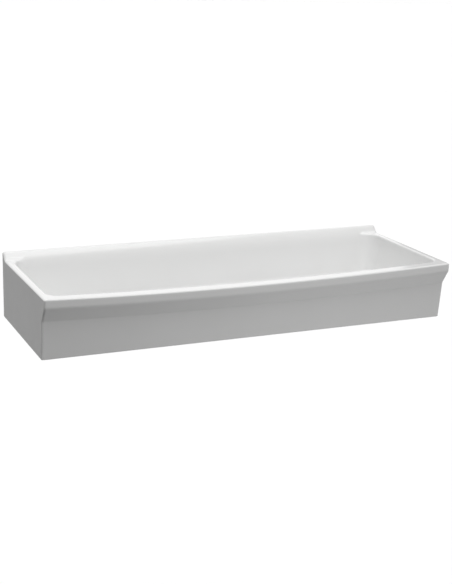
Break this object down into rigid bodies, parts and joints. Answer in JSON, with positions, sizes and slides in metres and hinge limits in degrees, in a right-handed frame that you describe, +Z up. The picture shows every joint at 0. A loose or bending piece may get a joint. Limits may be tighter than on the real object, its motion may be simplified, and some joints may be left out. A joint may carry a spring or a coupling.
{
  "type": "wall-hung trough sink",
  "caption": "Long shallow wall-hung trough sink in glazed fireclay, with a stepped front lip, a low rear upstand, a strainer waste and hidden wall bolts.",
  "frame": {"origin": "on the wall face, midway between the wall bolts and at their height", "axes": "+X along the trough to the user's right as they face the wall, +Y into the wall, -Y towards the user, +Z up"},
  "size_m": [1.2, 0.5, 0.232],
  "materials": {
    "glaze": "gloss",
    "waste_chrome": "polished",
    "black_rubber": "matt",
    "white_plastic": "satin",
    "nut_brass": "machined",
    "grey_nylon": "matt",
    "zinc_steel": "zinc plated"
  },
  "bodies": {
    "root": {"trough_body": "glaze", "waste_body": "waste_chrome", "strainer_grid": "waste_chrome", "grid_screw": "waste_chrome", "flange_seal": "black_rubber", "under_seal": "black_rubber", "slip_washer": "white_plastic", "waste_back_nut": "nut_brass", "wall_plugs": "grey_nylon", "hanger_bolts": "zinc_steel", "bolt_sleeves": "white_plastic", "bolt_washers": "zinc_steel", "bolt_nuts": "zinc_steel"}
  },
  "joints": []
}
